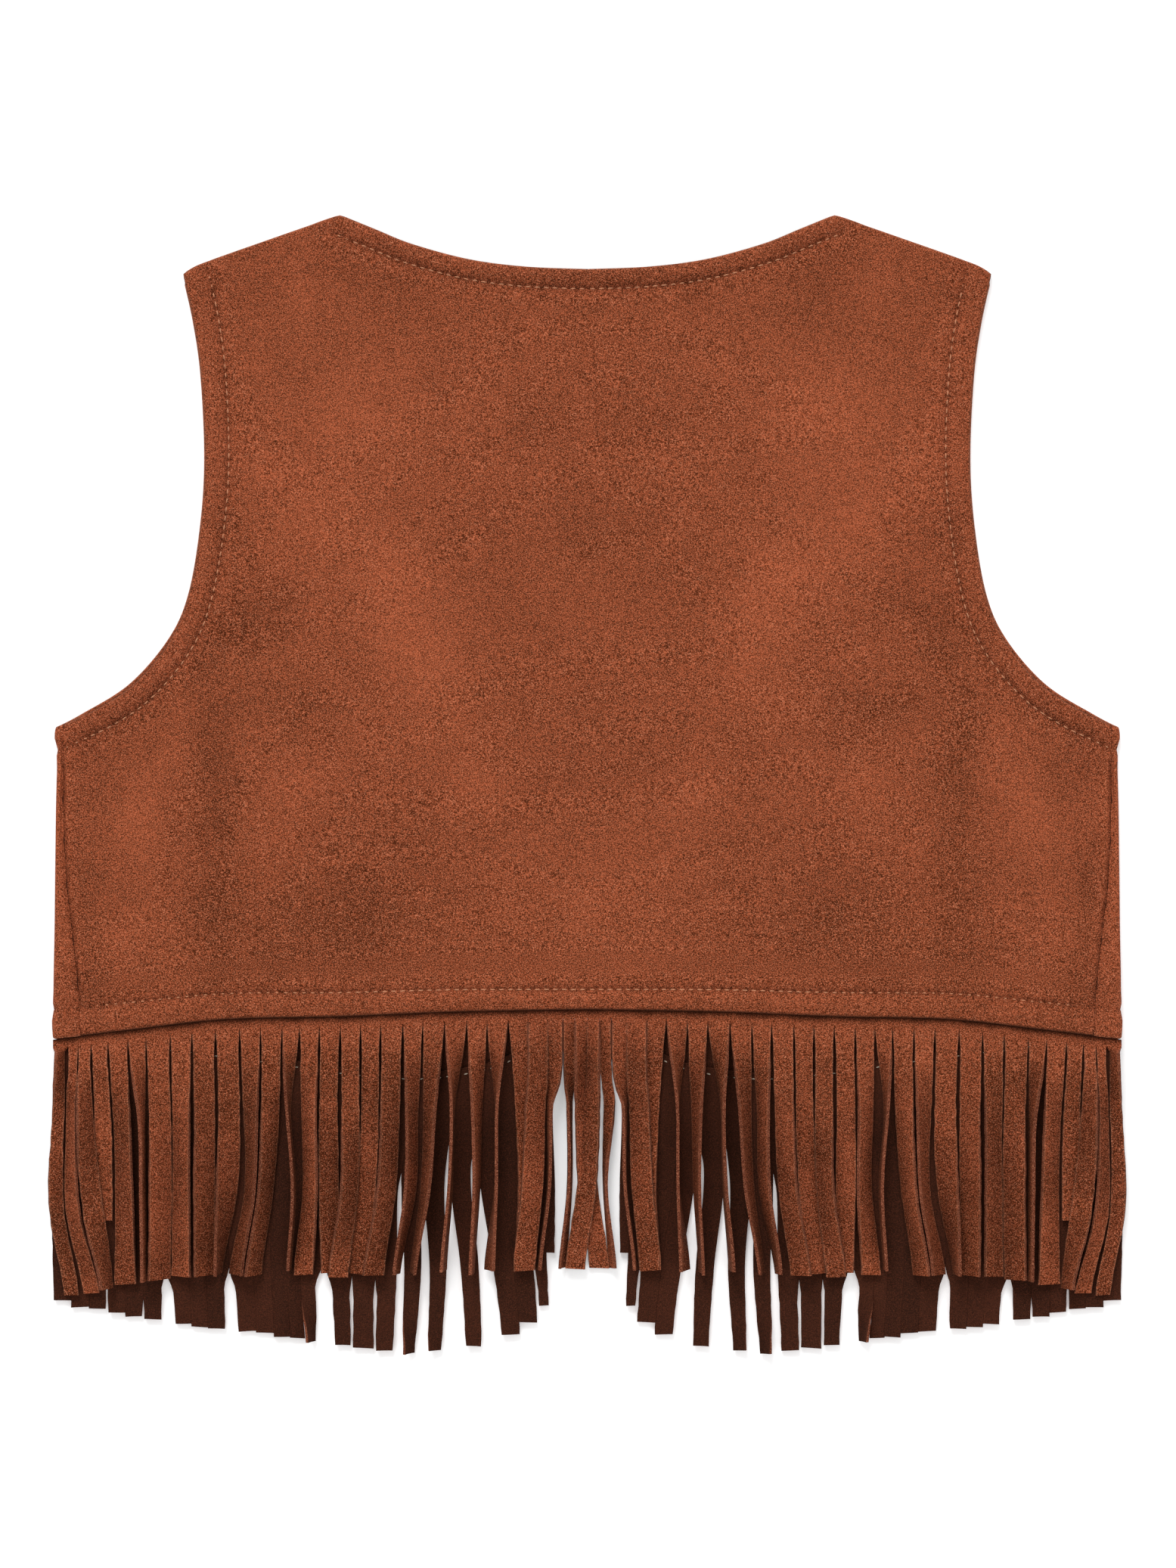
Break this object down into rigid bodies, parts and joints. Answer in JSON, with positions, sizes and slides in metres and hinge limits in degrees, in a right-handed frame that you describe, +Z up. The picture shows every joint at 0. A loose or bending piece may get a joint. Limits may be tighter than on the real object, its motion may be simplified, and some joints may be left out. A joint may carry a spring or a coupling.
{
  "type": "western vest",
  "caption": "Child's sleeveless suede western vest with a long cut leather fringe on each hem, laid flat with its back up.",
  "frame": {"origin": "on the surface that the vest lies on, at the middle of its width and of its length with the fringe", "axes": "+Z up from the surface, through the back that faces up; +Y towards the neck; +X across, to the right as the back is seen"},
  "size_m": [0.3484, 0.3684, 0.01],
  "materials": {
    "suede_back": "brushed suede, right side",
    "suede_front": "brushed suede, right side",
    "suede_fringe": "brushed suede, cut into strands",
    "suede_wrong_side": "dark rough wrong side of the suede"
  },
  "bodies": {
    "root": {"back_panel": "suede_back", "front_left": "suede_front", "front_right": "suede_front", "fringe_back": "suede_fringe", "fringe_front_left": "suede_wrong_side", "fringe_front_right": "suede_wrong_side"}
  },
  "joints": []
}
